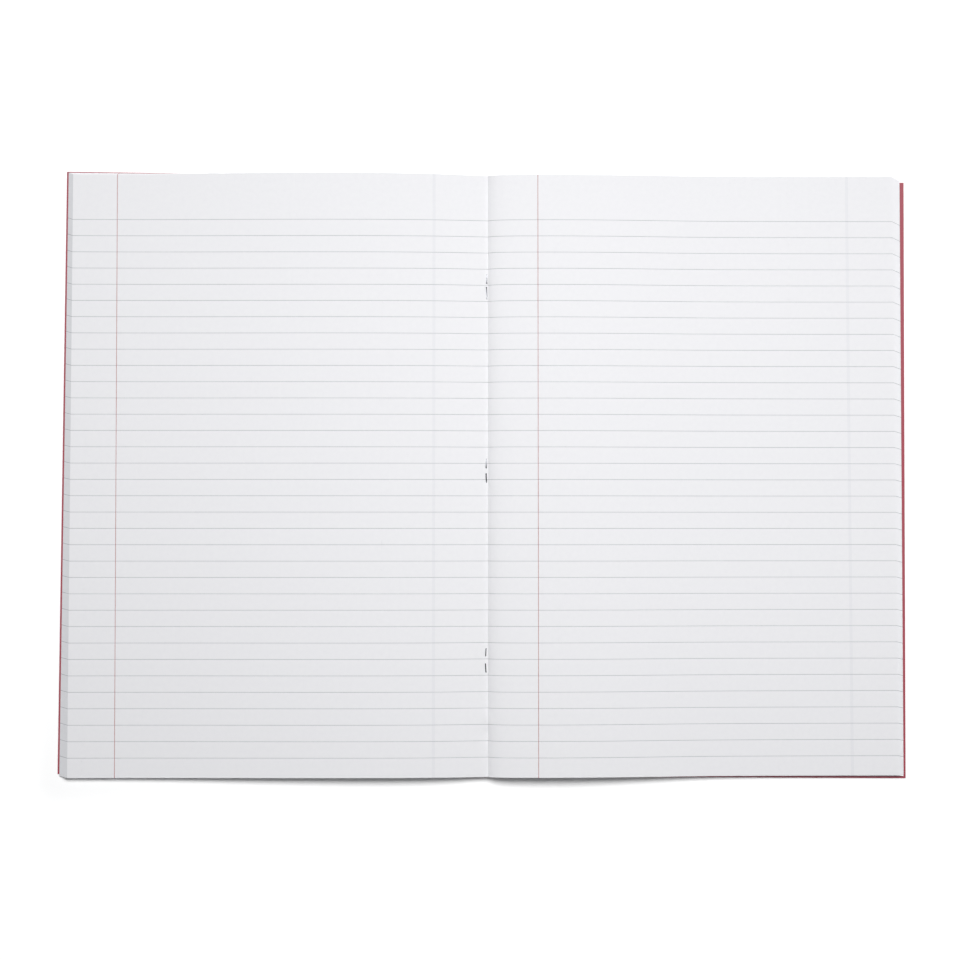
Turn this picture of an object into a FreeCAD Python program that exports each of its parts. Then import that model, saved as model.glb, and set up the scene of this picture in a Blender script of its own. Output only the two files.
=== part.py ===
import FreeCAD, Part
import Sketcher
import math
import os

# Exercise book lying open at its centre spread, card cover down.
# X runs across the spread, Y up the page, Z up from the table.
# The origin is under the middle of the spine, on the table.

V = FreeCAD.Vector

SIZES = (
    ("leaf_width", 208.2, "card from its fold to its fore edge"),
    ("leaf_height", 296.0, "head to tail"),
    ("card_thickness", 0.35, "cover card"),
    ("sheet_count", 20, "folded sheets, so as many leaves each side"),
    ("sheet_thickness", 0.1, "one sheet"),
    ("card_overhang", 1.75, "card past the outermost leaf, both sides the same"),
    ("fold_shift", 1.1, "sheets folded to the right of their middle"),
    ("left_rise", 2.4, "crest of the left leaves above the gutter"),
    ("left_flank", 14.0, "gutter to half the left rise"),
    ("left_crest", 45.0, "gutter to the left crest"),
    ("left_rest", 8.0, "left leaves lying flat along their fore edge"),
    ("right_rise", 3.4, "crest of the right leaves above the gutter"),
    ("right_flank", 8.0, "gutter to half the right rise"),
    ("right_crest", 33.0, "gutter to the right crest"),
    ("right_rest", 74.0, "right leaves lying flat along their fore edge"),
    ("edge_drop", 0.5, "leaves that lie flat, below the gutter"),
    ("spine_lift", 0.65, "card held off the table along its fold"),
    ("lift_run", 15.0, "fold to where the card lies flat"),
    ("fold_clear", 0.05, "each half of the card short of the fold line"),
    ("card_shift", 0.55, "cover folded to the right of its middle"),
    ("card_skew", 0.47, "cover turned against the top leaf, degrees"),
    ("leaf_skew", 0.22, "outermost leaf turned against the top leaf"),
    ("staple_count", 3, "staples along the fold"),
    ("wire_diameter", 0.55, "staple wire"),
    ("staple_span", 12.3, "over both legs of one staple"),
    ("staple_pitch", 92.0, "one staple to the next"),
    ("staple_shift", 1.3, "middle staple above the middle of the page"),
    ("tip_gap", 2.7, "between the turned ends of one staple"),
    ("wire_clear", 0.15, "round a leg, and under its turned end"),
    ("crown_clear", 0.03, "crown above the table"),
)

doc = FreeCAD.newDocument("ExerciseBook")
sheet = doc.addObject("Spreadsheet::Sheet", "Sizes")
for row, (alias, value, note) in enumerate(SIZES, 1):
    sheet.set("A%d" % row, note)
    sheet.set("B%d" % row, str(value))
    sheet.setAlias("B%d" % row, alias)
doc.recompute()

# Expressions used by more than one piece
BLOCK = "Sizes.sheet_count * Sizes.sheet_thickness"
FOLD_TOP = "(Sizes.spine_lift + Sizes.card_thickness + %s)" % BLOCK
LEG_RADIUS = "(Sizes.wire_diameter / 2 + Sizes.wire_clear)"
LEG_OFFSET = "(Sizes.staple_span - Sizes.wire_diameter) / 2"
FIRST_STAPLE = "(Sizes.staple_shift - (Sizes.staple_count - 1) / 2 * Sizes.staple_pitch)"
CROWN_LEVEL = "(Sizes.crown_clear + Sizes.wire_diameter / 2)"


def size(alias):
    """Read one driving size from the sheet."""
    return float(sheet.get(alias))


def origin_item(body, role):
    """Find one of the body's own origin planes or axes."""
    return [f for f in body.Origin.OriginFeatures if f.Role == role][0]


def new_body(name, label):
    """Start an empty body with the label that names its file."""
    body = doc.addObject("PartDesign::Body", name)
    body.Label = label
    return body


def new_sketch(body, name, role):
    """Start a sketch on one of the body's own origin planes."""
    sketch = body.newObject("Sketcher::SketchObject", name)
    sketch.AttachmentSupport = [(origin_item(body, role), "")]
    sketch.MapMode = "FlatFace"
    return sketch


def add_loop(sketch, points):
    """Draw a closed loop of lines through the points, ends joined."""
    first, count = sketch.GeometryCount, len(points)
    for i in range(count):
        (ax, ay), (bx, by) = points[i], points[(i + 1) % count]
        sketch.addGeometry(Part.LineSegment(V(ax, ay, 0), V(bx, by, 0)), False)
    for i in range(count):
        sketch.addConstraint(Sketcher.Constraint(
            "Coincident", first + i, 2, first + (i + 1) % count, 1))
    return first


def bind(sketch, kind, name, expression, *refs):
    """Add a named dimension and tie it to the sheet."""
    index = sketch.addConstraint(Sketcher.Constraint(kind, *refs, 1.0))
    sketch.renameConstraint(index, name)
    sketch.setExpression("Constraints." + name, expression)


def bind_x(sketch, name, expression, side, line):
    """Set how far a line's start lies from the fold, to the given side."""
    refs = (-1, 1, line, 1) if side > 0 else (line, 1, -1, 1)
    bind(sketch, "DistanceX", name, expression, *refs)


def add_centred_box(sketch, width, height, word):
    """Draw a rectangle centred on the origin with both sides tied."""
    a = add_loop(sketch, [(-9, -9), (9, -9), (9, 9), (-9, 9)])
    for line, kind in ((a, "Horizontal"), (a + 1, "Vertical"),
                       (a + 2, "Horizontal"), (a + 3, "Vertical")):
        sketch.addConstraint(Sketcher.Constraint(kind, line))
    sketch.addConstraint(Sketcher.Constraint("Symmetric", a, 1, a + 2, 1, -1, 1))
    bind(sketch, "DistanceX", word + "_width", width, a, 1, a, 2)
    bind(sketch, "DistanceY", word + "_height", height, a + 1, 1, a + 1, 2)


def make_card(name, label, side):
    """One half of the cover, from the fold to its fore edge."""
    body = new_body(name, label)

    # Section across the spread: flat card that springs up to its fold
    section = new_sketch(body, name + "Section", "XZ_Plane")
    lift, thick, near, run, wide = 0.6, 0.4, 0.1 * side, 15 * side, 220 * side
    add_loop(section, [(near, lift), (near, lift + thick), (run, thick),
                       (wide, thick), (wide, 0), (run, 0)])
    for line, kind in ((0, "Vertical"), (2, "Horizontal"), (3, "Vertical"), (4, "Horizontal")):
        section.addConstraint(Sketcher.Constraint(kind, line))
    section.addConstraint(Sketcher.Constraint("PointOnObject", 4, 1, -1))
    section.addConstraint(Sketcher.Constraint("Vertical", 2, 1, 5, 1))
    bind(section, "DistanceY", "lift", "Sizes.spine_lift", -1, 1, 0, 1)
    bind(section, "DistanceY", "fold_thick", "Sizes.card_thickness", 0, 1, 1, 1)
    bind(section, "DistanceY", "flat_thick", "Sizes.card_thickness", 5, 1, 2, 1)
    bind_x(section, "near", "Sizes.fold_clear", side, 0)
    bind_x(section, "run", "Sizes.lift_run", side, 5)
    bind_x(section, "wide", "1.1 * Sizes.leaf_width", side, 4)
    stock = body.newObject("PartDesign::Pad", name + "Stock")
    stock.Profile = section
    stock.SideType = "Symmetric"
    stock.setExpression("Length", "1.1 * Sizes.leaf_height")
    doc.recompute()

    # Trimmed to the cover's outline, which is turned against the fold
    outline = new_sketch(body, name + "Outline", "XY_Plane")
    outline.setExpression(".AttachmentOffset.Rotation.Angle", "-Sizes.card_skew")
    outline.setExpression(".AttachmentOffset.Base.x", "-Sizes.card_shift")
    add_centred_box(outline, "2 * Sizes.leaf_width", "Sizes.leaf_height", "cover")
    add_centred_box(outline, "3 * Sizes.leaf_width", "1.5 * Sizes.leaf_height", "scrap")
    trim = body.newObject("PartDesign::Pocket", name + "Trim")
    trim.Profile = outline
    trim.Type = "ThroughAll"
    trim.SideType = "Symmetric"

    # Half holes in the fold for the staple legs
    legs = new_sketch(body, name + "Legs", "XY_Plane")
    for i, sign in enumerate((-1, 1)):
        legs.addGeometry(Part.Circle(V(0, -90 + 6 * sign, 0), V(0, 0, 1), 0.4), False)
        legs.addConstraint(Sketcher.Constraint("PointOnObject", i, 3, -2))
        bind(legs, "Radius", "leg_hole_%d" % i, LEG_RADIUS, i)
        bind(legs, "DistanceY", "leg_%d" % i,
             "-%s - (%d) * %s" % (FIRST_STAPLE, sign, LEG_OFFSET), i, 3, -1, 1)
    holes = body.newObject("PartDesign::Pocket", name + "LegHoles")
    holes.Profile = legs
    holes.Type = "ThroughAll"
    holes.SideType = "Symmetric"
    repeat_along_fold(body, holes, name + "LegRows")
    return body


def repeat_along_fold(body, feature, name):
    """Repeat one staple's feature for every staple along the fold."""
    row = body.newObject("PartDesign::LinearPattern", name)
    row.Originals = [feature]
    row.Direction = (origin_item(body, "Y_Axis"), [""])
    row.setExpression("Length", "(Sizes.staple_count - 1) * Sizes.staple_pitch")
    row.setExpression("Occurrences", "Sizes.staple_count")
    body.Tip = row
    return row


def turned_corner(reach, side, end, skew):
    """Corner of a leaf turned clockwise about the middle of the spine."""
    a, half = math.radians(skew), size("leaf_height") / 2
    x, y = side * reach, end * half
    return x * math.cos(a) + y * math.sin(a), y * math.cos(a) - x * math.sin(a)


def leaf_outline(reach, side, skew, level):
    """Fold and fore edge corners of one leaf: tail then head, at a level."""
    a, half = math.radians(skew), size("leaf_height") / 2
    corners = []
    for end in (-1, 1):
        corners.append(V(0, end * half / math.cos(a), level))
        x, y = turned_corner(reach, side, end, skew)
        corners.append(V(x, y, level))
    return corners


def arch_edge(reach, word, side, y):
    """The top leaf seen end on: gutter, flank, crest, then half a wave down."""
    gutter = size("spine_lift") + size("card_thickness") + \
        size("sheet_count") * size("sheet_thickness")
    rise, flank, crest, rest = [size(word + part) for part in
                                ("_rise", "_flank", "_crest", "_rest")]
    settle = reach - rest
    points = [(0, 0), (flank / 2, 0.22 * rise), (flank, 0.5 * rise),
              ((flank + crest) / 2, 0.88 * rise), (crest, rise)]
    for step in (1, 2, 3, 4):
        share = (1 + math.cos(math.pi * step / 4)) / 2
        points.append((crest + (settle - crest) * step / 4,
                       share * (rise + size("edge_drop")) - size("edge_drop")))
    points.append((reach, -size("edge_drop")))
    curve = Part.BSplineCurve()
    curve.interpolate([V(side * x, y, gutter + z) for x, z in points])
    return curve.toShape()


def flat_face(*corners):
    """A flat face through its corners in turn."""
    return Part.Face(Part.makePolygon(list(corners) + [corners[0]]))


def make_leaves(name, word, side):
    """The leaves of one side as they lie: arched, fanned and out of square."""
    creep = size("sheet_count") * size("sheet_thickness") * math.pi / 2
    outer = size("leaf_width") - size("card_overhang") - side * size("fold_shift")
    inner = outer - creep
    half = size("leaf_height") / 2
    top = [arch_edge(inner, word, side, end * half) for end in (-1, 1)]
    low = leaf_outline(outer, side, size("leaf_skew"), size("card_thickness"))
    lower = [Part.makeLine(low[0], low[1]), Part.makeLine(low[2], low[3])]
    high = [edge.valueAt(t) for edge in top for t in edge.ParameterRange]
    faces = [flat_face(low[0], low[1], low[3], low[2]),
             flat_face(high[0], high[2], low[2], low[0]),
             Part.makeRuledSurface(top[0], top[1]),
             Part.makeRuledSurface(Part.makeLine(high[1], high[3]),
                                   Part.makeLine(low[1], low[3]))]
    faces += [Part.makeRuledSurface(t, b) for t, b in zip(top, lower)]
    shell = Part.makeShell(faces)
    shell.sewShape()
    solid = Part.makeSolid(Part.Shell(shell.Faces))
    if solid.Volume < 0:
        solid.reverse()
    leaves = doc.addObject("Part::Feature", name)
    leaves.Shape = solid
    return leaves


def make_spine_tent():
    """The space under the fold where the card springs up."""
    tent = doc.addObject("Part::Wedge", "SpineTent")
    tent.Ymin = 0
    tent.setExpression("Ymax", "Sizes.spine_lift")
    for end, key in ((-1, "min"), (1, "max")):
        tent.setExpression("X" + key, "%d * Sizes.lift_run" % end)
        tent.setExpression("X2" + key, "%d * Sizes.fold_clear" % end)
        for word in ("Z" + key, "Z2" + key):
            tent.setExpression(word, "%d * Sizes.leaf_height" % end)
    tent.Placement = FreeCAD.Placement(V(0, 0, 0), FreeCAD.Rotation(V(1, 0, 0), 90))
    tent.setExpression(".Placement.Base.z", "Sizes.card_thickness")
    return tent


def make_leg_holes(side):
    """A round hole for every staple leg through the fold, as one side's tool.

    The cylinders' own seams are turned away from that side's leaves.
    """
    holes = []
    for i in range(int(size("staple_count"))):
        for end in (-1, 1):
            hole = doc.addObject("Part::Cylinder", "LegHole")
            hole.setExpression("Radius", LEG_RADIUS)
            hole.setExpression("Height", "2 * %s" % FOLD_TOP)
            hole.Placement.Rotation = FreeCAD.Rotation(V(0, 0, 1), 180 * (side > 0))
            hole.setExpression(".Placement.Base.y", "%s + %d * Sizes.staple_pitch + %d * %s"
                               % (FIRST_STAPLE, i, end, LEG_OFFSET))
            holes.append(hole)
    tool = doc.addObject("Part::Compound", "LegHoles")
    tool.Links = holes
    return tool


def cut_leaves(leaves, label, tools):
    """Take the fold's clearances out of one side's leaves, one after another."""
    for tool in tools:
        cut = doc.addObject("Part::Cut", leaves.Name + tool.Name)
        cut.Base = leaves
        cut.Tool = tool
        leaves = cut
    leaves.Label = label
    return leaves


def make_staples():
    """Wire staples: crown under the fold, legs up, ends turned inward."""
    body = new_body("Staples", "staples")
    path = new_sketch(body, "StaplePath", "YZ_Plane")
    low, high, far, near = 0.3, 3.9, 6.1, 1.5
    points = [(-90 - near, high), (-90 - far, high), (-90 - far, low),
              (-90 + far, low), (-90 + far, high), (-90 + near, high)]
    for i in range(5):
        (ay, az), (by, bz) = points[i], points[i + 1]
        path.addGeometry(Part.LineSegment(V(ay, az, 0), V(by, bz, 0)), False)
        path.addConstraint(Sketcher.Constraint("Horizontal" if i % 2 == 0 else "Vertical", i))
    for i in range(4):
        path.addConstraint(Sketcher.Constraint("Coincident", i, 2, i + 1, 1))
    path.addConstraint(Sketcher.Constraint("Horizontal", 1, 1, 3, 2))
    bind(path, "DistanceX", "crown", "2 * " + LEG_OFFSET, 2, 1, 2, 2)
    turned = "%s - Sizes.tip_gap / 2" % LEG_OFFSET
    bind(path, "DistanceX", "turned_tail", turned, 0, 2, 0, 1)
    bind(path, "DistanceX", "turned_head", turned, 4, 2, 4, 1)
    bind(path, "DistanceY", "low", CROWN_LEVEL, -1, 1, 2, 1)
    bind(path, "DistanceY", "leg", "%s + Sizes.wire_clear + Sizes.wire_diameter / 2 - %s"
         % (FOLD_TOP, CROWN_LEVEL), 1, 2, 1, 1)
    bind(path, "DistanceX", "first", "-%s - %s" % (FIRST_STAPLE, LEG_OFFSET), 2, 2, -1, 1)

    wire = new_sketch(body, "WireSection", "XZ_Plane")
    wire.addGeometry(Part.Circle(V(0, high, 0), V(0, 0, 1), 0.3), False)
    wire.addConstraint(Sketcher.Constraint("PointOnObject", 0, 3, -2))
    bind(wire, "Diameter", "wire", "Sizes.wire_diameter", 0)
    bind(wire, "DistanceY", "level", "%s + Sizes.wire_clear + Sizes.wire_diameter / 2"
         % FOLD_TOP, -1, 1, 0, 3)
    wire.setExpression(".AttachmentOffset.Base.z",
                       "-%s + Sizes.tip_gap / 2" % FIRST_STAPLE)
    pipe = body.newObject("PartDesign::AdditivePipe", "StapleWire")
    pipe.Profile = wire
    pipe.Spine = (path, ["Edge%d" % (i + 1) for i in range(5)])
    pipe.Transition = "Round corner"
    repeat_along_fold(body, pipe, "StapleRow")
    return body


def check(pieces):
    """Stop at the first object that failed or piece that isn't solid."""
    for obj in doc.Objects:
        if "Invalid" in obj.State or "Error" in obj.State:
            raise RuntimeError("%s failed: %s" % (obj.Name, obj.State))
    for piece in pieces:
        shape = piece.Shape
        if shape.isNull() or not shape.isValid() or not shape.Solids:
            raise RuntimeError("%s has no valid shape" % piece.Label)
        box = shape.BoundBox
        print("%-12s solids %d volume %9.1f x %.2f..%.2f y %.2f..%.2f z %.3f..%.3f"
              % (piece.Label, len(shape.Solids), shape.Volume,
                 box.XMin, box.XMax, box.YMin, box.YMax, box.ZMin, box.ZMax))


tent = make_spine_tent()
pieces = [
    make_card("FrontCover", "front_cover", -1),
    make_card("BackCover", "back_cover", 1),
    cut_leaves(make_leaves("LeftLeaves", "left", -1), "left_pages", [tent, make_leg_holes(-1)]),
    cut_leaves(make_leaves("RightLeaves", "right", 1), "right_pages", [tent, make_leg_holes(1)]),
    make_staples(),
]
doc.recompute()
check(pieces)
os.makedirs("parts", exist_ok=True)
for piece in pieces:
    piece.Shape.exportStep(os.path.join("parts", piece.Label + ".step"))
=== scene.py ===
"""Stapled exercise book lying open at its centre spread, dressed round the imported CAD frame.

Sizes are in millimetres until a mesh is made. X runs across the spread from the fold,
Y runs up the page and Z up from the table, as in the frame.
"""

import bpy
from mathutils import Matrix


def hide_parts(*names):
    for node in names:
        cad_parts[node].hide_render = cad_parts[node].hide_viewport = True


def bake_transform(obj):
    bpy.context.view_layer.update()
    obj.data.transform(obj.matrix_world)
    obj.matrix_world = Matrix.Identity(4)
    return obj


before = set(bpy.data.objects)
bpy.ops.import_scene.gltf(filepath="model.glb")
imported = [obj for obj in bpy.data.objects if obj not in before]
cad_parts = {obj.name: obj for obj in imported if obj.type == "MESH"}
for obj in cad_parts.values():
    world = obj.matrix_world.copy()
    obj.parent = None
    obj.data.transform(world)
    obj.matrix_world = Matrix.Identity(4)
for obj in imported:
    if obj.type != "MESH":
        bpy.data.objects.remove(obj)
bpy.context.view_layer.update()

import logging
import math
from dataclasses import dataclass
from enum import Enum

import bpy
import numpy as np
from mathutils import Matrix, Vector

MM = 0.001
SHEET_UV = "sheet"
POINT_MARK = "mark"
UNPRINTED = 1000.0
SHARP_ANGLE = 50.0
log = logging.getLogger("exercise_book")


class Side(Enum):
    """Which half of the spread a leaf lies on, as the sign of its X."""

    LEFT = -1
    RIGHT = 1


# ---------------------------------------------------------------- small tools

def linear(hex_colour: str, alpha: float = 1.0) -> tuple[float, float, float, float]:
    """Turn an sRGB hex colour into linear values.

    Args:
        hex_colour: "#RRGGBB".
        alpha: fourth value.

    Returns:
        Linear red, green, blue and alpha.
    """
    parts = [int(hex_colour[i:i + 2], 16) / 255 for i in (1, 3, 5)]
    turned = [c / 12.92 if c <= 0.04045 else ((c + 0.055) / 1.055) ** 2.4 for c in parts]
    return (*turned, alpha)


def add_node(tree: bpy.types.NodeTree, kind: str, values: dict | None = None,
             links: dict | None = None, **settings) -> bpy.types.Node:
    """Add one shader node with its settings, input values and links.

    Args:
        tree: the material's or world's node tree.
        kind: node type without its "ShaderNode" prefix.
        values: input name or number to value.
        links: input name or number to the output socket that feeds it.
        settings: the node's own properties.

    Returns:
        The new node.
    """
    node = tree.nodes.new("ShaderNode" + kind)
    for name, value in settings.items():
        setattr(node, name, value)
    for name, value in (values or {}).items():
        node.inputs[name].default_value = value
    for name, socket in (links or {}).items():
        tree.links.new(socket, node.inputs[name])
    return node


def maths(tree: bpy.types.NodeTree, operation: str, *terms: float | bpy.types.NodeSocket,
          **settings) -> bpy.types.NodeSocket:
    """Add one Math node.

    Args:
        tree: the node tree.
        operation: Blender's name for the operation.
        terms: its inputs in order, each a number or the socket that feeds it.
        settings: the node's own properties.

    Returns:
        The result's socket.
    """
    sockets = {n: t for n, t in enumerate(terms) if isinstance(t, bpy.types.NodeSocket)}
    numbers = {n: t for n, t in enumerate(terms) if n not in sockets}
    return add_node(tree, "Math", numbers, sockets, operation=operation,
                    **settings).outputs[0]


def mixed(tree: bpy.types.NodeTree, share: bpy.types.NodeSocket,
          first: tuple | bpy.types.NodeSocket,
          second: tuple | bpy.types.NodeSocket) -> bpy.types.NodeSocket:
    """Mix two colours.

    Args:
        tree: the node tree.
        share: 0 for the first colour, 1 for the second.
        first: a linear colour or the socket that feeds it.
        second: the same for the other end.

    Returns:
        The mixed colour's socket.
    """
    ends = {"A": first, "B": second}
    sockets = {n: c for n, c in ends.items() if isinstance(c, bpy.types.NodeSocket)}
    colours = {n: c for n, c in ends.items() if n not in sockets}
    return add_node(tree, "Mix", colours, {"Factor": share, **sockets},
                    data_type="RGBA").outputs["Result"]


def ramp(tree: bpy.types.NodeTree, value: bpy.types.NodeSocket, start: float, end: float,
         at_start: float, at_end: float, kind: str = "SMOOTHSTEP") -> bpy.types.NodeSocket:
    """Map one range of a value onto another, held level past both ends.

    Args:
        tree: the node tree.
        value: the socket to map.
        start: where the range starts.
        end: where it ends.
        at_start: result at the start and before it.
        at_end: result at the end and past it.
        kind: Blender's name for the course between them.

    Returns:
        The result's socket.
    """
    return add_node(tree, "MapRange", {"From Min": start, "From Max": end,
                                       "To Min": at_start, "To Max": at_end},
                    {"Value": value}, interpolation_type=kind).outputs[0]


def noise(tree: bpy.types.NodeTree, place: bpy.types.NodeSocket, scale: float,
          detail: float, roughness: float = 0.5) -> bpy.types.NodeSocket:
    """Add a noise pattern.

    Args:
        tree: the node tree.
        place: the coordinates.
        scale: how often it repeats in one unit of them.
        detail: number of finer layers.
        roughness: strength of each finer layer against the one before.

    Returns:
        The pattern's socket, about 0 to 1.
    """
    return add_node(tree, "TexNoise", {"Scale": scale, "Detail": detail,
                                       "Roughness": roughness},
                    {"Vector": place}).outputs[0]


def raised(tree: bpy.types.NodeTree, height: bpy.types.NodeSocket, strength: float,
           depth: float) -> bpy.types.NodeSocket:
    """Turn a height pattern into a bumped normal.

    Args:
        tree: the node tree.
        height: the pattern.
        strength: share of the bump that is used.
        depth: height of the pattern in millimetres.

    Returns:
        The normal's socket.
    """
    return add_node(tree, "Bump", {"Strength": strength, "Distance": depth * MM},
                    {"Height": height}).outputs[0]


def new_material(name: str) -> tuple[bpy.types.Material, bpy.types.NodeTree]:
    """Start an empty node material.

    Args:
        name: the material's name.

    Returns:
        The material and its tree.
    """
    material = bpy.data.materials.new(name)
    material.use_nodes = True
    material.node_tree.nodes.clear()
    return material, material.node_tree


def smooth_through(knots: np.ndarray, heights: np.ndarray, at: np.ndarray) -> np.ndarray:
    """Read a natural cubic spline: the curve of least bending through the knots.

    Between two knots the height is the straight line between them plus
    ((a^3 - a) m0 + (b^3 - b) m1) w^2 / 6, where a and b are the shares of the gap
    w to either side and m0, m1 the curvatures at its ends.

    Args:
        knots: rising knot places.
        heights: height at each knot.
        at: places to read.

    Returns:
        The height at each place.
    """
    gaps = np.diff(knots)
    count = len(knots)
    system = np.eye(count)
    inside = np.arange(1, count - 1)
    system[inside, inside - 1] = gaps[:-1]
    system[inside, inside] = 2 * (gaps[:-1] + gaps[1:])
    system[inside, inside + 1] = gaps[1:]
    target = np.zeros(count)
    target[1:-1] = 6 * np.diff(np.diff(heights) / gaps)
    bend = np.linalg.solve(system, target)
    cell = np.clip(np.searchsorted(knots, at) - 1, 0, count - 2)
    wide = gaps[cell]
    b = (at - knots[cell]) / wide
    a = 1 - b
    return (a * heights[cell] + b * heights[cell + 1]
            + ((a ** 3 - a) * bend[cell] + (b ** 3 - b) * bend[cell + 1]) * wide ** 2 / 6)


# ---------------------------------------------------------------- meshes

@dataclass
class Shell:
    """Arrays of one closed surface in millimetres.

    The mark is one value a point that a finish may read, such as a distance or a share.
    """

    points: np.ndarray
    quads: np.ndarray
    uv: np.ndarray
    smooth: np.ndarray
    mark: np.ndarray | None = None

    @classmethod
    def thin(cls, upper: np.ndarray, lower: np.ndarray,
             uv_upper: np.ndarray, uv_lower: np.ndarray) -> "Shell":
        """Close an upper and a lower face on one grid with a rim.

        The grid runs along +X in its rows and +Y in its columns, so the quads
        (i, j), (i+1, j), (i+1, j+1), (i, j+1) face up on the upper face.

        Args:
            upper: rows x columns x 3 points.
            lower: the same grid under it.
            uv_upper: rows x columns x 2 sheet places.
            uv_lower: the same for the lower face.

        Returns:
            The closed shell, its rim flat shaded.
        """
        rows, columns = upper.shape[:2]
        count = rows * columns
        index = np.arange(count).reshape(rows, columns)
        top = np.stack((index[:-1, :-1], index[1:, :-1], index[1:, 1:], index[:-1, 1:]),
                       -1).reshape(-1, 4)
        ring = np.concatenate((index[:-1, 0], index[-1, :-1],
                               index[:0:-1, -1], index[0, :0:-1]))
        after = np.roll(ring, -1)
        rim = np.stack((ring + count, after + count, after, ring), -1)
        quads = np.concatenate((top, top[:, ::-1] + count, rim))
        smooth = np.ones(len(quads), bool)
        smooth[-len(rim):] = False
        return cls(np.concatenate((upper.reshape(-1, 3), lower.reshape(-1, 3))), quads,
                   np.concatenate((uv_upper.reshape(-1, 2), uv_lower.reshape(-1, 2))), smooth)

    @classmethod
    def joined(cls, shells: list["Shell"]) -> "Shell":
        """Put several shells into one set of arrays.

        Args:
            shells: the shells, either all with marks or all without.

        Returns:
            The joined shell.
        """
        marks = [s.mark for s in shells if s.mark is not None]
        starts = np.cumsum([0] + [len(s.points) for s in shells[:-1]])
        return cls(np.concatenate([s.points for s in shells]),
                   np.concatenate([s.quads + n for s, n in zip(shells, starts)]),
                   np.concatenate([s.uv for s in shells]),
                   np.concatenate([s.smooth for s in shells]),
                   np.concatenate(marks) if marks else None)

    def to_object(self, name: str, material: bpy.types.Material) -> bpy.types.Object:
        """Make the shell an object at the origin.

        A quad that repeats its last corner is a triangle. Flat shaded faces are cut
        edges, and their sheet places are moved off the print.

        Args:
            name: the piece's name.
            material: its finish.

        Returns:
            The linked object.
        """
        mesh = bpy.data.meshes.new(name)
        faces = [q[:3] if q[2] == q[3] else q for q in self.quads.tolist()]
        mesh.from_pydata((self.points * MM).tolist(), [], faces)
        mesh.polygons.foreach_set("use_smooth", self.smooth)
        corners = np.zeros(len(mesh.loops), np.int32)
        mesh.loops.foreach_get("vertex_index", corners)
        sizes = np.array([len(f) for f in faces])
        off_print_or_shade = np.repeat(~self.smooth, sizes)[:, None] * UNPRINTED
        layer = mesh.uv_layers.new(name=SHEET_UV)
        layer.data.foreach_set("uv", ((self.uv[corners] + off_print_or_shade) * MM).astype(np.float32).ravel())
        if self.mark is not None:
            mark = mesh.attributes.new(POINT_MARK, "FLOAT", "POINT")
            mark.data.foreach_set("value", self.mark.astype(np.float32))
        mesh.materials.append(material)
        mesh.set_sharp_from_angle(angle=math.radians(SHARP_ANGLE))
        piece = bpy.data.objects.new(name, mesh)
        bpy.context.scene.collection.objects.link(piece)
        return piece


# ---------------------------------------------------------------- finishes

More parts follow.
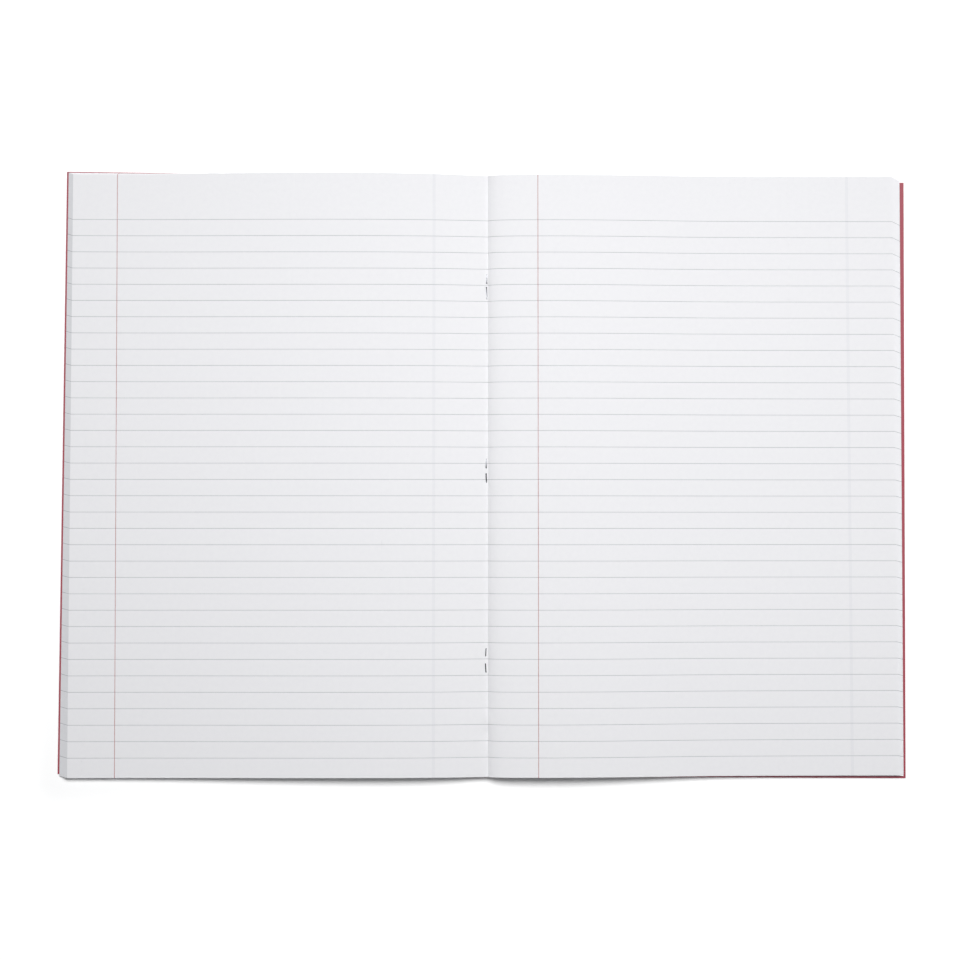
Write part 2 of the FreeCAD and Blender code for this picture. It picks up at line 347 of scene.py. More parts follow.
@dataclass(frozen=True)
class FeintRuledPaper:
    """Uncoated writing paper, machine made and feint ruled on both faces.

    It is matt, and a little blue from its brightener. The rules are thin grey lines
    every 8 mm with one red margin a page, and the margin of the other face shows
    through as a pale band. Fibre clumps give a faint cloudiness and a dry surface,
    and ink takes unevenly on the fibres. The fore edges that stand out from under
    the left page are greyed with painted shade.
    """

    paper: str = "#F4F4F6"
    cloud: str = "#EEEEF1"
    rule_ink: str = "#8D9196"
    margin_ink: str = "#B0686A"
    ghost_ink: str = "#C6C9D2"
    # Tone, width and strength of the painted shade along the fore edges.
    shaded_edge_tone: str = "#C2C4C8"
    roughness: float = 0.82
    ior: float = 1.5
    specular: float = 0.25
    rule_pitch: float = 8.0
    rule_count: int = 34
    first_rule: float = 125.65
    rule_width: float = 0.18
    margin_width: float = 0.26
    soft_edge: float = 0.05
    left_margin: float = -182.18
    left_tilt: float = 0.0039
    right_margin: float = 25.5
    left_ghost: float = -26.4
    right_ghost: float = 180.1
    ghost_width: float = 1.5
    ghost_strength: float = 0.13
    shaded_edge_width: float = 0.7
    shaded_edge_strength: float = 0.42
    clump_size: float = 2.2
    fibre_size: float = 0.35
    fibre_range: tuple[float, float] = (0.25, 0.75)
    thin_ink: float = 0.72
    clump_relief: float = 0.5
    relief_strength: float = 0.12
    relief_depth: float = 0.02

    def line(self, tree: bpy.types.NodeTree, distance: bpy.types.NodeSocket,
             width: float) -> bpy.types.NodeSocket:
        """Ink share of a line: 1 on it, 0 past its soft edge.

        Args:
            tree: the material's tree.
            distance: distance from the line's middle, in millimetres.
            width: the line's width.

        Returns:
            The share's socket.
        """
        return ramp(tree, distance, width / 2 - self.soft_edge,
                    width / 2 + self.soft_edge, 1.0, 0.0)

    def uprights(self, tree: bpy.types.NodeTree, width: float,
                 left: tuple[bpy.types.NodeSocket, float],
                 right: tuple[bpy.types.NodeSocket, float]) -> bpy.types.NodeSocket:
        """Ink share of two lines up the page, one on each side.

        Args:
            tree: the material's tree.
            width: the lines' width.
            left: place across the leaf in millimetres, and where the left line is.
            right: the same for the right line.

        Returns:
            The share's socket.
        """
        shares = [self.line(tree, maths(tree, "ABSOLUTE", maths(tree, "SUBTRACT", across, at)),
                            width) for across, at in (left, right)]
        return maths(tree, "ADD", *shares)

    def rules(self, tree: bpy.types.NodeTree, up: bpy.types.NodeSocket) -> bpy.types.NodeSocket:
        """Ink share of the feint rules.

        The place up the page is counted in pitches down from the first rule. Its
        distance from the nearest whole number is the distance from a rule, and
        the whole number says whether that rule is one of those printed.

        Args:
            tree: the material's tree.
            up: place up the leaf, in millimetres.

        Returns:
            The share's socket.
        """
        below = maths(tree, "SUBTRACT", self.first_rule, up)
        turns = maths(tree, "DIVIDE", below, self.rule_pitch)
        number = maths(tree, "ROUND", turns)
        off = maths(tree, "ABSOLUTE", maths(tree, "SUBTRACT", turns, number))
        ink = self.line(tree, maths(tree, "MULTIPLY", off, self.rule_pitch), self.rule_width)
        middle = (self.rule_count - 1) / 2
        printed = maths(tree, "COMPARE", number, middle, middle + 0.5)
        return maths(tree, "MULTIPLY", ink, printed)

    def build(self) -> bpy.types.Material:
        """Make the paper.

        Returns:
            The material.
        """
        material, tree = new_material("feint_ruled_paper")
        place = add_node(tree, "UVMap", uv_map=SHEET_UV).outputs[0]
        in_mm = add_node(tree, "VectorMath", {"Scale": 1 / MM}, {0: place},
                         operation="SCALE").outputs[0]
        axes = add_node(tree, "SeparateXYZ", links={0: in_mm})
        across, up = axes.outputs[0], axes.outputs[1]

        clumps = noise(tree, in_mm, 1 / self.clump_size, 4.0, 0.6)
        fibres = noise(tree, in_mm, 1 / self.fibre_size, 3.0, 0.65)
        colour = mixed(tree, clumps, linear(self.paper), linear(self.cloud))
        # Painted shade: the leaves under the left page grey towards their fore edges.
        gap = add_node(tree, "Attribute", attribute_name=POINT_MARK).outputs["Fac"]
        painted_edge_shade = ramp(tree, gap, 0.0, self.shaded_edge_width, self.shaded_edge_strength, 0.0)
        colour = mixed(tree, painted_edge_shade, colour, linear(self.shaded_edge_tone))

        taken = ramp(tree, fibres, *self.fibre_range, self.thin_ink, 1.0, "LINEAR")
        ink = maths(tree, "MULTIPLY", self.rules(tree, up), taken)
        colour = mixed(tree, ink, colour, linear(self.rule_ink))

        ghosts = self.uprights(tree, self.ghost_width, (across, self.left_ghost),
                               (across, self.right_ghost))
        faint = maths(tree, "MULTIPLY", ghosts, self.ghost_strength)
        colour = mixed(tree, faint, colour, linear(self.ghost_ink))

        squared = maths(tree, "MULTIPLY_ADD", up, self.left_tilt, across)
        margins = self.uprights(tree, self.margin_width, (squared, self.left_margin),
                                (across, self.right_margin))
        colour = mixed(tree, margins, colour, linear(self.margin_ink))

        relief = maths(tree, "MULTIPLY_ADD", clumps, self.clump_relief, fibres)
        normal = raised(tree, relief, self.relief_strength, self.relief_depth)
        skin = add_node(tree, "BsdfPrincipled", {"Roughness": self.roughness, "IOR": self.ior,
                                                 "Specular IOR Level": self.specular},
                        {"Base Color": colour, "Normal": normal})
        add_node(tree, "OutputMaterial", links={"Surface": skin.outputs[0]})
        return material


@dataclass(frozen=True)
class RedCoverCard:
    """Board-dyed cover card, calendered: red through, with a faint sheen.

    The pressed fibres show as a fine mottle, and the surface is a little
    smoother on the high spots, which gives broken soft highlights.
    """

    red: str = "#A24250"
    dark: str = "#8E3542"
    roughness: float = 0.55
    smoother: float = 0.1
    rougher: float = 0.12
    ior: float = 1.5
    coat: float = 0.04
    coat_roughness: float = 0.3
    mottle_size: float = 1.6
    grain_size: float = 0.28
    mottle_relief: float = 0.6
    relief_strength: float = 0.35
    relief_depth: float = 0.03

    def build(self) -> bpy.types.Material:
        """Make the card.

        Returns:
            The material.
        """
        material, tree = new_material("red_cover_card")
        place = add_node(tree, "TexCoord").outputs["Object"]
        mottle = noise(tree, place, 1 / (self.mottle_size * MM), 4.0, 0.6)
        grain = noise(tree, place, 1 / (self.grain_size * MM), 2.0, 0.6)
        colour = mixed(tree, mottle, linear(self.dark), linear(self.red))
        rough = ramp(tree, mottle, 0.0, 1.0, self.roughness - self.smoother,
                     self.roughness + self.rougher, "LINEAR")
        relief = maths(tree, "MULTIPLY_ADD", mottle, self.mottle_relief, grain)
        normal = raised(tree, relief, self.relief_strength, self.relief_depth)
        skin = add_node(tree, "BsdfPrincipled", {"IOR": self.ior, "Coat Weight": self.coat,
                                                 "Coat Roughness": self.coat_roughness},
                        {"Base Color": colour, "Roughness": rough, "Normal": normal})
        add_node(tree, "OutputMaterial", links={"Surface": skin.outputs[0]})
        return material


@dataclass(frozen=True)
class GalvanisedStitchingWire:
    """Galvanised steel wire, drawn through a die and bent cold.

    Zinc gives a pale grey metal, broken by duller streaks along the wire. Painted shade
    darkens the whole tail leg and the head leg's tip and turn, and as much of the head
    leg as a staple's own share says.
    """

    zinc: str = "#D8DADE"
    streak: str = "#A0A3A9"
    # Colour of the painted shade on the wire.
    wire_shade: str = "#484A4E"
    roughness: float = 0.34
    streak_size: float = 0.12
    streak_length: float = 2.5
    relief_strength: float = 0.3
    relief_depth: float = 0.02

    def build(self) -> bpy.types.Material:
        """Make the wire.

        Returns:
            The material.
        """
        material, tree = new_material("galvanised_wire")
        place = add_node(tree, "UVMap", uv_map=SHEET_UV).outputs[0]
        drawn = add_node(tree, "Mapping", {"Scale": (1 / (self.streak_size * MM),
                                                     1 / (self.streak_length * MM), 1.0)},
                         {"Vector": place}).outputs[0]
        streaks = noise(tree, drawn, 1.0, 3.0)
        colour = mixed(tree, streaks, linear(self.streak), linear(self.zinc))
        # Painted shade: the wire darkens where its mark says.
        off_print_or_shade = add_node(tree, "Attribute", attribute_name=POINT_MARK).outputs["Fac"]
        colour = mixed(tree, off_print_or_shade, colour, linear(self.wire_shade))
        normal = raised(tree, streaks, self.relief_strength, self.relief_depth)
        skin = add_node(tree, "BsdfPrincipled", {"Metallic": 1.0, "Roughness": self.roughness},
                        {"Base Color": colour, "Normal": normal})
        add_node(tree, "OutputMaterial", links={"Surface": skin.outputs[0]})
        return material


@dataclass(frozen=True)
class PaintedTable:
    """Matt white paint on a table top: white in the picture, with the book's shadow on it.

    Light that the table throws back on the book comes from a plain pale paint. The
    paint that the camera and mirrors see is paler the further it is from the
    book's rectangle, and far from the book it gives way to plain white light, so
    that the table shows no end and no dark corner in a low view.
    """

    near: float = 1.23
    far: float = 1.5
    fade_from: float = 4.0
    fade_to: float = 30.0
    open_from: float = 60.0
    open_at: float = 200.0
    half_x: float = 209.0
    half_y: float = 148.5
    lit: float = 0.8

    def build(self) -> bpy.types.Material:
        """Make the table top.

        The distance from the book's rectangle is the length of how far a place
        lies past its sides in X and in Y, neither of them less than 0.

        Returns:
            The material.
        """
        material, tree = new_material("white_table")
        path = add_node(tree, "LightPath")
        direct = maths(tree, "ADD", path.outputs["Is Camera Ray"],
                       path.outputs["Is Glossy Ray"], use_clamp=True)
        place = add_node(tree, "TexCoord").outputs["Object"]
        axes = add_node(tree, "SeparateXYZ", links={0: place})
        past = {}
        for axis, half in enumerate((self.half_x, self.half_y)):
            size = maths(tree, "ABSOLUTE", axes.outputs[axis])
            past[axis] = maths(tree, "MAXIMUM", maths(tree, "SUBTRACT", size, half * MM), 0.0)
        away = add_node(tree, "CombineXYZ", links=past).outputs[0]
        distance = add_node(tree, "VectorMath", links={0: away},
                            operation="LENGTH").outputs["Value"]
        tone = ramp(tree, distance, self.fade_from * MM, self.fade_to * MM, self.near, self.far)
        colour = mixed(tree, direct, (self.lit,) * 3 + (1.0,), tone)
        skin = add_node(tree, "BsdfDiffuse", links={"Color": colour})
        blown = ramp(tree, distance, self.open_from * MM, self.open_at * MM, 0.0, 1.0)
        shown = maths(tree, "MULTIPLY", blown, direct)
        white = add_node(tree, "Emission", {"Color": (1.0, 1.0, 1.0, 1.0), "Strength": 1.0})
        both = add_node(tree, "MixShader", links={0: shown, 1: skin.outputs[0],
                                                  2: white.outputs[0]})
        add_node(tree, "OutputMaterial", links={"Surface": both.outputs[0]})
        return material


# ---------------------------------------------------------------- the book

@dataclass(frozen=True)
class PageArch:
    """How the top leaf of one side stands up from the gutter and comes down again."""

    rise: float
    flank: float
    crest: float
    rest: float
    climb: tuple[float, float, float] = (0.22, 0.5, 0.88)
    drop: float = 0.5
    fall_steps: int = 4

    def heights(self, distance: np.ndarray, reach: float) -> np.ndarray:
        """Height of the leaf above the gutter.

        The flank climbs through set shares of the rise to the crest, and from the
        crest the leaf comes down on half a cosine wave to where it lies flat.

        Args:
            distance: distance from the fold.
            reach: the leaf's own width.

        Returns:
            The heights.
        """
        settle = reach - self.rest
        part = np.arange(1, self.fall_steps + 1) / self.fall_steps
        wave = (1 + np.cos(np.pi * part)) / 2 * (self.rise + self.drop) - self.drop
        knots = np.concatenate(([0, self.flank / 2, self.flank, (self.flank + self.crest) / 2,
                                 self.crest], self.crest + (settle - self.crest) * part,
                                [reach]))
        levels = np.concatenate((np.array([0, *self.climb, 1.0]) * self.rise, wave,
                                 [-self.drop]))
        return smooth_through(knots, levels, np.minimum(distance, reach))


@dataclass(frozen=True)
class Fold:
    """Shared sizes of the fold that every piece of the book follows."""

    height: float = 296.0
    card: float = 0.35
    lift: float = 0.65
    run: float = 15.0
    bend: float = 1.5
    card_bend: float = 3.2
    card_skew: float = 0.47
    card_half: tuple[float, float] = (208.73, 207.57)
    edge_skew: tuple[float, float] = (0.47, 0.23)

    def card_level(self, x: np.ndarray) -> np.ndarray:
        """Underside of the card: on the table, and up a straight slope to the fold.

        Args:
            x: distances from the fold, signed.

        Returns:
            The levels.
        """
        return self.lift * np.clip(1 - np.abs(x) / self.run, 0, None)

    def turned(self, x: np.ndarray, y: np.ndarray,
               degrees: float) -> tuple[np.ndarray, np.ndarray]:
        """Turn points clockwise about the middle of the spine.

        Args:
            x: places across.
            y: places up the page.
            degrees: the turn.

        Returns:
            The new X and Y.
        """
        a = math.radians(degrees)
        return x * math.cos(a) + y * math.sin(a), y * math.cos(a) - x * math.sin(a)


@dataclass
class Gathering:
    """The folded sheets: each is one piece of paper that lies left and right of the fold."""

    fold: Fold
    paper: bpy.types.Material
    sheets: int = 20
    thick: float = 0.1
    left: PageArch = PageArch(2.4, 14.0, 45.0, 8.0)
    right: PageArch = PageArch(3.4, 8.0, 33.0, 74.0, (0.46, 0.72, 0.955))
    reach_top: tuple[float, float] = (204.41, 202.21)
    reach_low: tuple[float, float] = (207.90, 206.0)
    skew_low: float = 0.22
    flare: tuple[float, float] = (0.40, 0.66)
    flare_low: tuple[float, float] = (0.62, 0.50)
    head_lift: float = 0.75
    head_low: float = 0.45
    head_bow: float = 0.95
    bow_reach: float = 0.8
    bow_fade: int = 12
    crease_place: float = 0.3
    crease_depth: tuple[float, float] = (0.20, 0.35)
    crease_width: tuple[float, float] = (2.0, 2.8)
    print_sum: tuple[float, float] = (-208.0, 205.6)
    pucker_place: float = -122.0
    pucker_length: float = 9.0
    pucker_width: float = 2.2
    pucker_height: float = 0.35
    pucker_wave: tuple[float, float] = (2.6, 0.8)
    pucker_sheets: float = 3.0
    pucker_span: tuple[float, float, int] = (-136.0, -108.0, 29)
    solid: float = 0.97
    least_air: float = 0.35
    gather: float = 1.5
    bend_places: int = 19
    top_cells: tuple[int, int] = (96, 75)
    under_cells: tuple[int, int] = (30, 9)
    far_from_edge: float = 5.0
    seed: int = 7

    def air_shares(self) -> np.ndarray:
        """Find the share of the block's air that lies under each leaf.

        Returns:
            1 for the top leaf, falling by uneven steps to 0 for the lowest.
        """
        steps = self.least_air + np.random.default_rng(self.seed).random(self.sheets - 1)
        return np.concatenate(([1.0], 1 - np.cumsum(steps) / steps.sum()))

    def across(self, reach: tuple[float, float], cells: int) -> np.ndarray:
        """Places across a sheet, closer together near the fold.

        Args:
            reach: left and right width.
            cells: cells on each leaf outside the bend.

        Returns:
            Rising X values from the left fore edge to the right one.
        """
        share = np.linspace(0, 1, cells + 1) ** self.gather
        bend = self.fold.bend
        left = bend + (reach[0] - bend) * share
        right = bend + (reach[1] - bend) * share
        middle = np.linspace(-bend, bend, self.bend_places)[1:-1]
        return np.concatenate((-left[::-1], middle, right))

    def top_level(self, x: np.ndarray, reach: tuple[float, float]) -> np.ndarray:
        """Level of the top leaf's face over places across a sheet.

        It is the gutter's level, plus the arch of its side stretched to the sheet's
        reach, plus a ridge d b e^(1 - b) beside the fold, where d is the ridge's
        height and b the distance from the gutter in ridge widths.

        Args:
            x: places across the sheet.
            reach: the sheet's left and right width.

        Returns:
            The levels.
        """
        gutter = self.fold.lift + self.fold.card + self.sheets * self.thick
        x = x - self.crease_place
        left = self.left.heights(-x * self.reach_top[0] / reach[0], self.reach_top[0])
        right = self.right.heights(x * self.reach_top[1] / reach[1], self.reach_top[1])
        beside = np.abs(x) / np.where(x < 0, *self.crease_width)
        crease = np.where(x < 0, *self.crease_depth) * beside * np.exp(1 - beside)
        return gutter + np.where(x < 0, left, right) + crease

    def sheet(self, number: int, air: float, cells: int, along: np.ndarray) -> Shell:
        """One folded sheet of paper.

        A point is found between the fold line and the fore edge, which is turned
        with its leaf, in proportion to its distance from the fold. Its level is
        the card's level, plus the sheets below it, plus its share of the air.

        Args:
            number: 0 for the centre sheet, counting outward.
            air: its share of the air between the leaves.
            cells: cells across each leaf.
            along: places up the leaf.

        Returns:
            The closed sheet.
        """
        share = number / (self.sheets - 1)
        reach = tuple(t + (w - t) * share for t, w in zip(self.reach_top, self.reach_low))
        x = self.across(reach, cells)
        flat_x, flat_y = np.meshgrid(x, along, indexing="ij")
        edge = np.where(flat_x < 0, -reach[0], reach[1])
        far_x, far_y = self.fold.turned(edge, flat_y, self.skew_low * share)
        up = flat_y / (self.fold.height / 2)
        ease = 1 - share
        flare = [t + (w - t) * share for t, w in zip(self.flare, self.flare_low)]
        far_x = far_x - np.sign(edge) * np.where(edge < 0, *flare) * up
        far_y = far_y + np.where(edge > 0, self.head_lift * ease,
                                 self.head_low * share) * np.clip(up, 0, 1)
        out = flat_x / edge
        px = far_x * out
        py = flat_y + (far_y - flat_y) * out
        inner = np.clip(out / self.bow_reach, 0, 1)
        py += (np.where(flat_x < 0, self.head_bow, 0) * 4 * inner * (1 - inner)
               * np.clip(up, 0, 1) ** self.bow_fade)

        card_top = self.fold.card_level(x) + self.fold.card
        stack = self.thick * (self.sheets - number)
        spare = self.top_level(x, reach) - card_top - self.thick * self.sheets
        level = card_top + stack + np.clip(spare, 0, None) * air
        upper_z = np.broadcast_to(level[:, None], flat_x.shape).copy()
        upper_z += self.pucker(flat_x, flat_y) * math.exp(-number / self.pucker_sheets)
        lower_z = upper_z - self.thick * self.solid

        gone = np.concatenate(([0], np.cumsum(np.hypot(np.diff(x), np.diff(level)))))
        arc = gone - np.interp(0.0, x, gone)
        u = np.broadcast_to(arc[:, None], flat_x.shape)
        uv_upper = np.stack((u, flat_y), -1)
        mirrored = np.where(flat_x < 0, *self.print_sum) - u
        uv_lower = np.stack((mirrored, flat_y), -1)
        shell = Shell.thin(np.stack((px, py, upper_z), -1), np.stack((px, py, lower_z), -1),
                           uv_upper, uv_lower)
        # Painted shade goes only on the leaves under the left page. The centre sheet and the
        # right leaves get a mark beyond its reach.
        unshaded = (flat_x > 0) | (number == 0)
        gap = np.abs(edge) - np.abs(flat_x) + np.where(unshaded, self.far_from_edge, 0)
        shell.mark = np.tile(gap.ravel(), 2)
        return shell

    def pucker(self, x: np.ndarray, y: np.ndarray) -> np.ndarray:
        """Small crumple beside the fold: a bell shape that a sine wave turns up and down.

        Its height is h exp(-a^2 - b^2) sin(w a + s), where a and b are the distances
        from its middle up and across the page in pucker lengths and widths.

        Args:
            x: places across.
            y: places up the page.

        Returns:
            The height over the smooth leaf.
        """
        along = (y - self.pucker_place) / self.pucker_length
        beside = x / self.pucker_width
        wave, start = self.pucker_wave
        bell = np.exp(-along ** 2 - beside ** 2)
        return self.pucker_height * bell * np.sin(wave * along + start)

    def build(self) -> list[bpy.types.Object]:
        """Build the centre sheet and the sheets under it.

        Returns:
            The two pieces.
        """
        air = self.air_shares()
        half = self.fold.height / 2
        cells, rows = self.top_cells
        fine = np.unique(np.concatenate((np.linspace(-half, half, rows),
                                         np.linspace(*self.pucker_span))))
        centre = self.sheet(0, air[0], cells, fine)
        cells, rows = self.under_cells
        coarse = np.linspace(-half, half, rows)
        rest = [self.sheet(n, air[n], cells, coarse) for n in range(1, self.sheets)]
        pieces = [centre.to_object("centre_sheet", self.paper),
                  Shell.joined(rest).to_object("inner_sheets", self.paper)]
        for piece in pieces:
            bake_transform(piece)
        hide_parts("left_pages", "right_pages")
        return pieces


@dataclass
class Cover:
    """The cover card: a panel each side and the strip that turns round the fold."""

    fold: Fold
    card: bpy.types.Material
    clearance: float = 0.01
    panel_places: tuple[int, int, int] = (12, 9, 40)
    strip_places: int = 25
    rows: int = 33

    def outline(self, x: np.ndarray, along: np.ndarray,
                side: int) -> tuple[np.ndarray, np.ndarray]:
        """Places on the turned card.

        The card is a rectangle turned clockwise. A straight line across it at one
        share up the page runs from the fold to the turned fore edge.

        Args:
            x: distances across, signed, as cut at the fold side.
            along: shares up the page from -1 to 1.
            side: -1 for the left half, 1 for the right.

        Returns:
            X and Y grids.
        """
        slope = math.tan(math.radians(self.fold.card_skew))
        half = self.fold.height / 2
        which = 0 if side < 0 else 1
        wide = side * self.fold.card_half[which]
        lean = math.tan(math.radians(self.fold.edge_skew[which]))
        far_x = wide + along * half * lean
        far_y = along * half - far_x * slope
        near_x = x[0] if side > 0 else x[-1]
        near_y = along * half - near_x * slope
        out = (x[:, None] - near_x) / (wide - near_x)
        return near_x + (far_x[None] - near_x) * out, near_y[None] + (far_y - near_y)[None] * out

    def faced(self, px: np.ndarray, py: np.ndarray) -> Shell:
        """Give places on the card their two faces, on the table or on the slope to the fold.

        Args:
            px: grid of places across.
            py: the same up the page.

        Returns:
            The closed piece of card.
        """
        low = self.fold.card_level(px)
        uv = np.stack((px, py), -1)
        return Shell.thin(np.stack((px, py, low + self.fold.card - self.clearance), -1),
                          np.stack((px, py, low), -1), uv, uv)

    def panel(self, side: Side) -> Shell:
        """One half of the cover from its bend to its fore edge.

        Args:
            side: which half.

        Returns:
            The closed panel.
        """
        stops = (self.fold.bend, self.fold.card_bend, self.fold.run,
                 self.fold.card_half[0 if side is Side.LEFT else 1])
        steps = np.unique(np.concatenate([np.linspace(*part) for part in zip(
            stops[:-1], stops[1:], self.panel_places)]))
        x = steps if side is Side.RIGHT else -steps[::-1]
        return self.faced(*self.outline(x, np.linspace(-1, 1, self.rows), side.value))

    def strip(self) -> Shell:
        """The card over the fold itself, between the two bends.

        Returns:
            The closed strip.
        """
        x = np.linspace(-self.fold.bend, self.fold.bend, self.strip_places)
        along = np.linspace(-1, 1, self.rows)
        px = np.broadcast_to(x[:, None], (len(x), len(along)))
        slope = math.tan(math.radians(self.fold.card_skew))
        return self.faced(px, along[None] * self.fold.height / 2 - px * slope)

    def build(self) -> list[bpy.types.Object]:
        """Build the two panels and the strip.

        Returns:
            The three pieces.
        """
        pieces = []
        for side, leaves, body in ((Side.LEFT, "front_leaves", "front_cover"),
                                   (Side.RIGHT, "back_leaves", "back_cover")):
            piece = self.panel(side).to_object(body + "_card", self.card)
            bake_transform(piece)
            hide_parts(body)
            pieces.append(piece)
        strip = self.strip().to_object("spine_card", self.card)
        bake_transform(strip)
        pieces.append(strip)
        return pieces


@dataclass(frozen=True)
class Stitch:
    """One staple: where it goes through, and how its ends were turned in."""

    head: float
    tail: float
    head_turned: float
    tail_turned: float
    off: float
    head_lean: float = 0.0
    tail_lean: float = 0.0
    # Share of painted shade along the head leg.
    off_print_or_shade: float = 0.0


@dataclass
class Staples:
    """Three wire staples, crown under the spine and ends clinched in the gutter."""

    fold: Fold
    wire: bpy.types.Material
    radius: float = 0.275
    sides: int = 14
    corner: float = 0.55
    crown_level: float = 0.305
    clinch_level: float = 3.36
    tip_rise: float = 0.12
    corner_points: int = 9
    end_draw: float = 0.06
    end_radius: float = 0.55
    # Reach of the painted shade on the wire: bells at the head leg's tip and turn, and ramps
    # along the legs.
    tip_shade: float = 0.55
    turn_shade: float = 0.45
    head_shade: float = 5.2
    tail_shade: float = 5.4
    blend_half: float = 40.0
    stitches: tuple[Stitch, ...] = (
        Stitch(99.18, 86.55, 4.7, 6.2, -0.13, -0.10, -0.22),
        Stitch(8.04, -4.02, 4.7, 4.7, -0.38, -0.10, -0.20),
        Stitch(-84.95, -97.17, 4.0, 4.6, -0.62, -0.12, -0.25, 0.8),
    )

    def route(self, stitch: Stitch) -> np.ndarray:
        """Middle line of one staple.

        Straight runs between six turning points. Each of the four inner corners
        is a quadratic curve that starts and ends one corner size from it.

        Args:
            stitch: the staple's own places.

        Returns:
            Points from the head tip to the tail tip.
        """
        head, tail = stitch.head - self.radius, stitch.tail + self.radius
        top, low = self.clinch_level, self.crown_level
        tips = top + self.tip_rise
        turning = np.array([
            (stitch.off + stitch.head_lean, head - stitch.head_turned + self.radius, tips),
            (stitch.off, head, top), (0, head, low), (0, tail, low),
            (stitch.off, tail, top),
            (stitch.off + stitch.tail_lean, tail + stitch.tail_turned - self.radius, tips)])
        share = np.linspace(0, 1, self.corner_points)[:, None]
        parts = [turning[:1]]
        for before, at, after in zip(turning[:-2], turning[1:-1], turning[2:]):
            start = at + (before - at) / np.linalg.norm(before - at) * self.corner
            end = at + (after - at) / np.linalg.norm(after - at) * self.corner
            parts.append((1 - share) ** 2 * start + 2 * share * (1 - share) * at
                         + share ** 2 * end)
        parts.append(turning[-1:])
        return np.concatenate(parts)

    def tube(self, route: np.ndarray, turned: float, off_print_or_shade: float) -> Shell:
        """Wire round a route: rings square to it, drawn in to a blunt cut at each end.

        A ring's points are the route's point plus r (cos t A + sin t B), where A
        is the X axis made square to the route's direction D, and B is D x A.

        The share of painted shade is 1 on the tail leg and in bell shapes at the head leg's tip
        and turn, and takes the stitch's own value along the rest of the head leg.

        Args:
            route: the middle line.
            turned: length of the head leg.
            off_print_or_shade: share of painted shade along the head leg, from 0 to 1.

        Returns:
            The closed wire.
        """
        ahead = np.gradient(route, axis=0)
        ahead /= np.linalg.norm(ahead, axis=1, keepdims=True)
        line = np.concatenate(([route[0] - ahead[0] * self.end_draw], route,
                               [route[-1] + ahead[-1] * self.end_draw]))
        ahead = np.concatenate((ahead[:1], ahead, ahead[-1:]))
        sideways = np.array([1.0, 0, 0]) - ahead * ahead[:, :1]
        sideways /= np.linalg.norm(sideways, axis=1, keepdims=True)
        over = np.cross(ahead, sideways)
        radius = np.full(len(line), self.radius)
        radius[[0, -1]] *= self.end_radius
        turn = np.linspace(0, 2 * np.pi, self.sides, endpoint=False)
        ring = (np.cos(turn)[None, :, None] * sideways[:, None]
                + np.sin(turn)[None, :, None] * over[:, None])
        rings = line[:, None] + radius[:, None, None] * ring
        count, sides = rings.shape[:2]
        points = np.concatenate((rings.reshape(-1, 3), line[:1], line[-1:]))
        index = np.arange(count * sides).reshape(count, sides)
        beside = np.roll(index, -1, axis=1)
        walls = np.stack((index[:-1], beside[:-1], beside[1:], index[1:]), -1).reshape(-1, 4)
        first, last = count * sides, count * sides + 1
        caps = np.concatenate((
            np.stack((np.full(sides, first), beside[0], index[0], index[0]), -1),
            np.stack((np.full(sides, last), index[-1], beside[-1], beside[-1]), -1)))
        gone = np.concatenate(([0], np.cumsum(np.linalg.norm(np.diff(line, axis=0), axis=1))))
        uv = np.stack(np.broadcast_arrays(turn[None] * self.radius, gone[:, None]), -1)
        uv = np.concatenate((uv.reshape(-1, 2), [[0, 0], [0, gone[-1]]]))
        left = gone[-1] - gone
        # Share of painted shade along the wire.
        wire_shade = np.maximum.reduce((
            np.clip(self.tail_shade - left, 0, 1),
            np.exp(-(gone / self.tip_shade) ** 2),
            np.exp(-((gone - turned) / self.turn_shade) ** 2),
            off_print_or_shade * np.clip(self.head_shade - gone, 0, 1)))
        mark = np.concatenate((np.repeat(wire_shade, sides), wire_shade[[0, -1]]))
        return Shell(points, np.concatenate((walls, caps)), uv,
                     np.concatenate((np.ones(len(walls), bool), np.zeros(len(caps), bool))), mark)

    def build(self) -> bpy.types.Object:
        """Build the three staples as one piece.

        Returns:
            The piece.
        """
        wires = [self.tube(self.route(s), s.head_turned, s.off_print_or_shade) for s in self.stitches]
        piece = Shell.joined(wires).to_object("wire_staples", self.wire)
        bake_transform(piece)
        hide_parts("staples")
        return piece


# ---------------------------------------------------------------- the studio

@dataclass(frozen=True)
class Lamp:
    """One soft lamp: where it hangs, how wide it is and how much light it gives."""

    name: str
    place: tuple[float, float, float]
    size: tuple[float, float]
    watts: float
    aim: tuple[float, float, float] = (0.0, 0.0, 0.0)
    colour: str = "#FFFFFF"


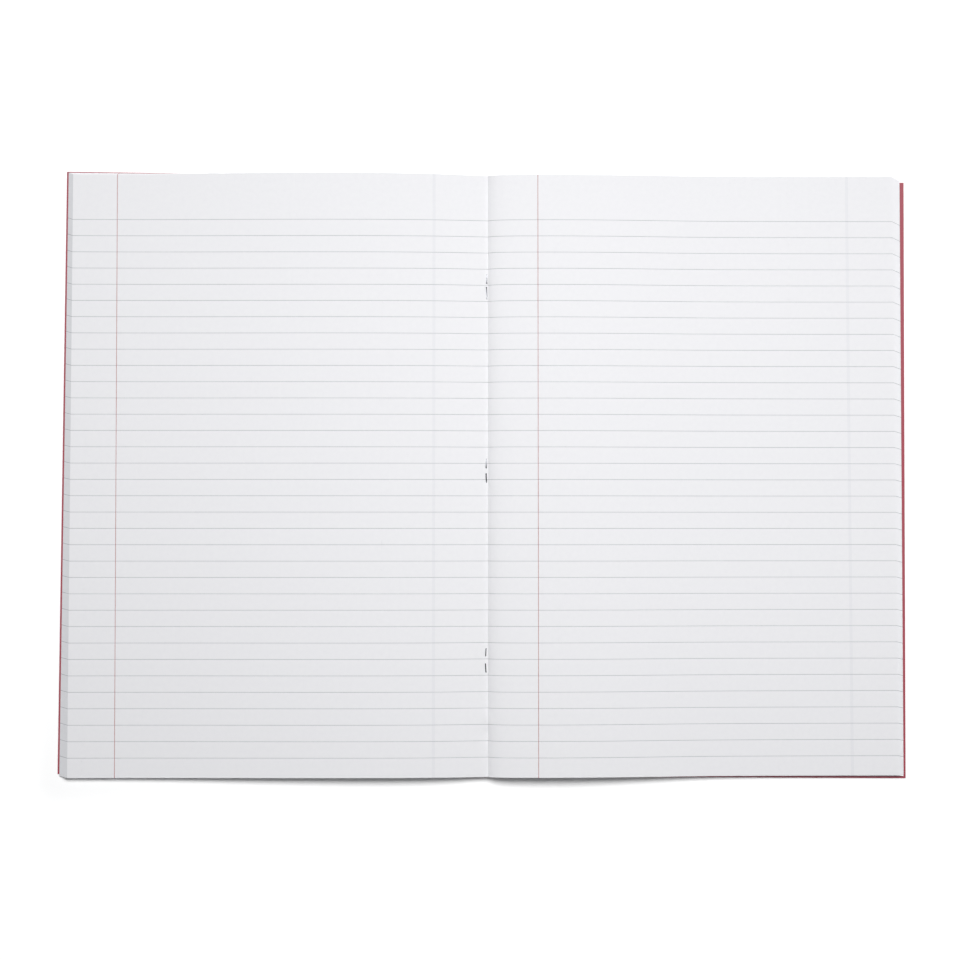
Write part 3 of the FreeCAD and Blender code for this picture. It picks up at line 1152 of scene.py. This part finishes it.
@dataclass
class Studio:
    """Floor, lamps, world and the camera."""

    lamps: tuple[Lamp, ...] = (
        Lamp("head_softbox", (0.10, 0.38, 0.85), (0.9, 0.52), 11.6, (-0.12, -1.25, 0.0)),
        Lamp("overhead_fill", (-0.05, 0.0, 0.95), (0.5, 0.5), 1.1),
    )
    world_light: float = 0.03
    world_tint: str = "#EDF3FF"
    floor_half: float = 3.0
    floor_gap: float = 0.02
    camera_place: tuple[float, float, float] = (-19.244, -22.682, 750.0)
    camera_turn: tuple[float, float, float] = (-0.02697, 0.02099, -0.00014)
    lens: float = 56.93
    sensor: float = 36.0
    clip: tuple[float, float] = (0.01, 20.0)

    def floor(self) -> bpy.types.Object:
        """Build the table top just under the book.

        Returns:
            The table top.
        """
        h, z = self.floor_half, -self.floor_gap * MM
        mesh = bpy.data.meshes.new("table_top")
        mesh.from_pydata([(-h, -h, z), (h, -h, z), (h, h, z), (-h, h, z)], [], [(0, 1, 2, 3)])
        mesh.materials.append(PaintedTable().build())
        floor = bpy.data.objects.new("table_top", mesh)
        bpy.context.scene.collection.objects.link(floor)
        return floor

    def world(self) -> None:
        """Light the scene softly from all round, and show white where the table ends."""
        world = bpy.data.worlds.new("studio_world")
        world.use_nodes = True
        tree = world.node_tree
        tree.nodes.clear()
        path = add_node(tree, "LightPath")
        seen = path.outputs["Is Camera Ray"]
        for kind in ("Is Glossy Ray", "Is Transmission Ray"):
            seen = maths(tree, "ADD", seen, path.outputs[kind], use_clamp=True)
        ambient = add_node(tree, "Background", {"Color": linear(self.world_tint),
                                                "Strength": self.world_light})
        white = add_node(tree, "Background", {"Color": (1.0, 1.0, 1.0, 1.0), "Strength": 1.0})
        both = add_node(tree, "MixShader", links={0: seen, 1: ambient.outputs[0],
                                                  2: white.outputs[0]})
        add_node(tree, "OutputWorld", links={"Surface": both.outputs[0]})
        bpy.context.scene.world = world

    def hang(self, lamp: Lamp) -> None:
        """Hang one lamp and point it where it aims.

        Args:
            lamp: the lamp.
        """
        data = bpy.data.lights.new(lamp.name, "AREA")
        data.shape = "RECTANGLE"
        data.size, data.size_y = lamp.size
        data.energy = lamp.watts
        data.color = linear(lamp.colour)[:3]
        light = bpy.data.objects.new(lamp.name, data)
        light.location = lamp.place
        light.rotation_euler = (Vector(lamp.aim) - light.location).to_track_quat(
            "-Z", "Y").to_euler()
        bpy.context.scene.collection.objects.link(light)

    def camera(self) -> None:
        """Set the camera over the spread, as the photograph's was."""
        data = bpy.data.cameras.new("overhead_camera")
        data.lens = self.lens
        data.sensor_width = self.sensor
        data.clip_start, data.clip_end = self.clip
        camera = bpy.data.objects.new("overhead_camera", data)
        turn_x, turn_y, turn_z = self.camera_turn
        turn = (Matrix.Rotation(turn_z, 3, "Z") @ Matrix.Rotation(turn_x, 3, "X")
                @ Matrix.Rotation(turn_y, 3, "Y")).transposed()
        camera.matrix_world = (Matrix.Translation(Vector(self.camera_place) * MM)
                               @ turn.to_4x4())
        bpy.context.scene.collection.objects.link(camera)
        bpy.context.scene.camera = camera

    def build(self) -> None:
        """Set up the whole studio."""
        self.floor()
        self.world()
        for lamp in self.lamps:
            self.hang(lamp)
        self.camera()
        bpy.context.scene.view_settings.view_transform = "Standard"


def report(piece: bpy.types.Object) -> None:
    """Log a piece with its faces and triangles.

    Args:
        piece: the piece.
    """
    faces = len(piece.data.polygons)
    triangles = sum(len(p.vertices) - 2 for p in piece.data.polygons)
    log.info("%s: %d faces, %d triangles", piece.name, faces, triangles)


def main() -> None:
    """Build the book and the studio round it."""
    logging.basicConfig(level=logging.INFO, format="%(name)s %(message)s")
    fold = Fold()
    Studio().build()
    pieces = Gathering(fold, FeintRuledPaper().build()).build()
    pieces += Cover(fold, RedCoverCard().build()).build()
    pieces.append(Staples(fold, GalvanisedStitchingWire().build()).build())
    for piece in pieces:
        report(piece)


if __name__ == "__main__":
    main()
